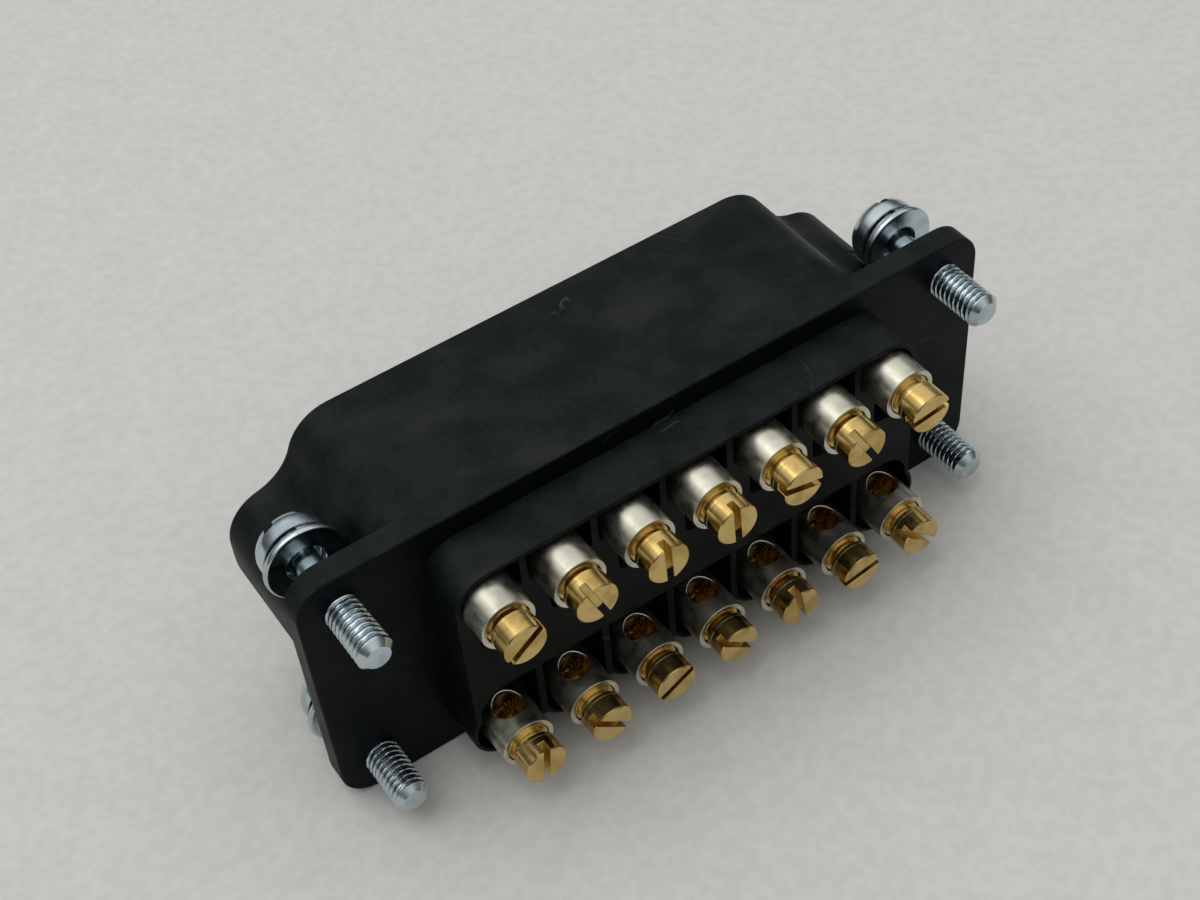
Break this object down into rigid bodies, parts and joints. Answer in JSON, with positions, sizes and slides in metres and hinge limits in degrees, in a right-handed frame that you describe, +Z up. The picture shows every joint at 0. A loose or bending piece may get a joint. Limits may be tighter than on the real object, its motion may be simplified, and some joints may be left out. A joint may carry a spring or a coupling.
{
  "type": "heavy-duty connector insert",
  "caption": "Rectangular black connector insert with a hollow lobed shroud round two rows of pins, slotted screw terminals at the back and captive mounting screws in its flange.",
  "frame": {"origin": "centre of the flange's rear face, in the middle of the four mounting screws", "axes": "+X along the rows of poles, +Y the mating direction out of the shroud's mouth, +Z up; it rests on z = -17 mm"},
  "size_m": [0.0844, 0.0345, 0.034],
  "materials": {
    "moulding": "black filled moulding with a faint sheen",
    "contact_plating": "turned brass with slightly tarnished silver plating",
    "screw_brass": "bare turned brass",
    "zinc_plating": "bright zinc plated steel"
  },
  "bodies": {
    "insert": {"insulator": "moulding", "contact_01": "contact_plating", "contact_02": "contact_plating", "contact_03": "contact_plating", "contact_04": "contact_plating", "contact_05": "contact_plating", "contact_06": "contact_plating", "contact_07": "contact_plating", "contact_08": "contact_plating", "contact_09": "contact_plating", "contact_10": "contact_plating", "contact_11": "contact_plating", "contact_12": "contact_plating", "contact_13": "contact_plating", "contact_14": "contact_plating"},
    "terminal_screw_01": {"terminal_screw_01": "screw_brass"},
    "terminal_screw_02": {"terminal_screw_02": "screw_brass"},
    "terminal_screw_03": {"terminal_screw_03": "screw_brass"},
    "terminal_screw_04": {"terminal_screw_04": "screw_brass"},
    "terminal_screw_05": {"terminal_screw_05": "screw_brass"},
    "terminal_screw_06": {"terminal_screw_06": "screw_brass"},
    "terminal_screw_07": {"terminal_screw_07": "screw_brass"},
    "terminal_screw_08": {"terminal_screw_08": "screw_brass"},
    "terminal_screw_09": {"terminal_screw_09": "screw_brass"},
    "terminal_screw_10": {"terminal_screw_10": "screw_brass"},
    "terminal_screw_11": {"terminal_screw_11": "screw_brass"},
    "terminal_screw_12": {"terminal_screw_12": "screw_brass"},
    "terminal_screw_13": {"terminal_screw_13": "screw_brass"},
    "terminal_screw_14": {"terminal_screw_14": "screw_brass"},
    "mounting_screw_1": {"mounting_screw_1": "zinc_plating", "spring_washer_1": "zinc_plating", "flat_washer_1": "zinc_plating"},
    "mounting_screw_2": {"mounting_screw_2": "zinc_plating", "spring_washer_2": "zinc_plating", "flat_washer_2": "zinc_plating"},
    "mounting_screw_3": {"mounting_screw_3": "zinc_plating", "spring_washer_3": "zinc_plating", "flat_washer_3": "zinc_plating"},
    "mounting_screw_4": {"mounting_screw_4": "zinc_plating", "spring_washer_4": "zinc_plating", "flat_washer_4": "zinc_plating"}
  },
  "joints": [
    {"name": "terminal_screw_01_clamping", "type": "slide", "parent": "insert", "child": "terminal_screw_01", "axis": [0, 1, 0], "range_m": [0, 0.003]},
    {"name": "terminal_screw_02_clamping", "type": "slide", "parent": "insert", "child": "terminal_screw_02", "axis": [0, 1, 0], "range_m": [0, 0.003]},
    {"name": "terminal_screw_03_clamping", "type": "slide", "parent": "insert", "child": "terminal_screw_03", "axis": [0, 1, 0], "range_m": [0, 0.003]},
    {"name": "terminal_screw_04_clamping", "type": "slide", "parent": "insert", "child": "terminal_screw_04", "axis": [0, 1, 0], "range_m": [0, 0.003]},
    {"name": "terminal_screw_05_clamping", "type": "slide", "parent": "insert", "child": "terminal_screw_05", "axis": [0, 1, 0], "range_m": [0, 0.003]},
    {"name": "terminal_screw_06_clamping", "type": "slide", "parent": "insert", "child": "terminal_screw_06", "axis": [0, 1, 0], "range_m": [0, 0.003]},
    {"name": "terminal_screw_07_clamping", "type": "slide", "parent": "insert", "child": "terminal_screw_07", "axis": [0, 1, 0], "range_m": [0, 0.003]},
    {"name": "terminal_screw_08_clamping", "type": "slide", "parent": "insert", "child": "terminal_screw_08", "axis": [0, 1, 0], "range_m": [0, 0.003]},
    {"name": "terminal_screw_09_clamping", "type": "slide", "parent": "insert", "child": "terminal_screw_09", "axis": [0, 1, 0], "range_m": [0, 0.003]},
    {"name": "terminal_screw_10_clamping", "type": "slide", "parent": "insert", "child": "terminal_screw_10", "axis": [0, 1, 0], "range_m": [0, 0.003]},
    {"name": "terminal_screw_11_clamping", "type": "slide", "parent": "insert", "child": "terminal_screw_11", "axis": [0, 1, 0], "range_m": [0, 0.003]},
    {"name": "terminal_screw_12_clamping", "type": "slide", "parent": "insert", "child": "terminal_screw_12", "axis": [0, 1, 0], "range_m": [0, 0.003]},
    {"name": "terminal_screw_13_clamping", "type": "slide", "parent": "insert", "child": "terminal_screw_13", "axis": [0, 1, 0], "range_m": [0, 0.003]},
    {"name": "terminal_screw_14_clamping", "type": "slide", "parent": "insert", "child": "terminal_screw_14", "axis": [0, 1, 0], "range_m": [0, 0.003]},
    {"name": "mounting_screw_1_fastening", "type": "slide", "parent": "insert", "child": "mounting_screw_1", "axis": [0, 1, 0], "range_m": [-0.0044, 0]},
    {"name": "mounting_screw_2_fastening", "type": "slide", "parent": "insert", "child": "mounting_screw_2", "axis": [0, 1, 0], "range_m": [-0.0044, 0]},
    {"name": "mounting_screw_3_fastening", "type": "slide", "parent": "insert", "child": "mounting_screw_3", "axis": [0, 1, 0], "range_m": [-0.0044, 0]},
    {"name": "mounting_screw_4_fastening", "type": "slide", "parent": "insert", "child": "mounting_screw_4", "axis": [0, 1, 0], "range_m": [-0.0044, 0]}
  ]
}
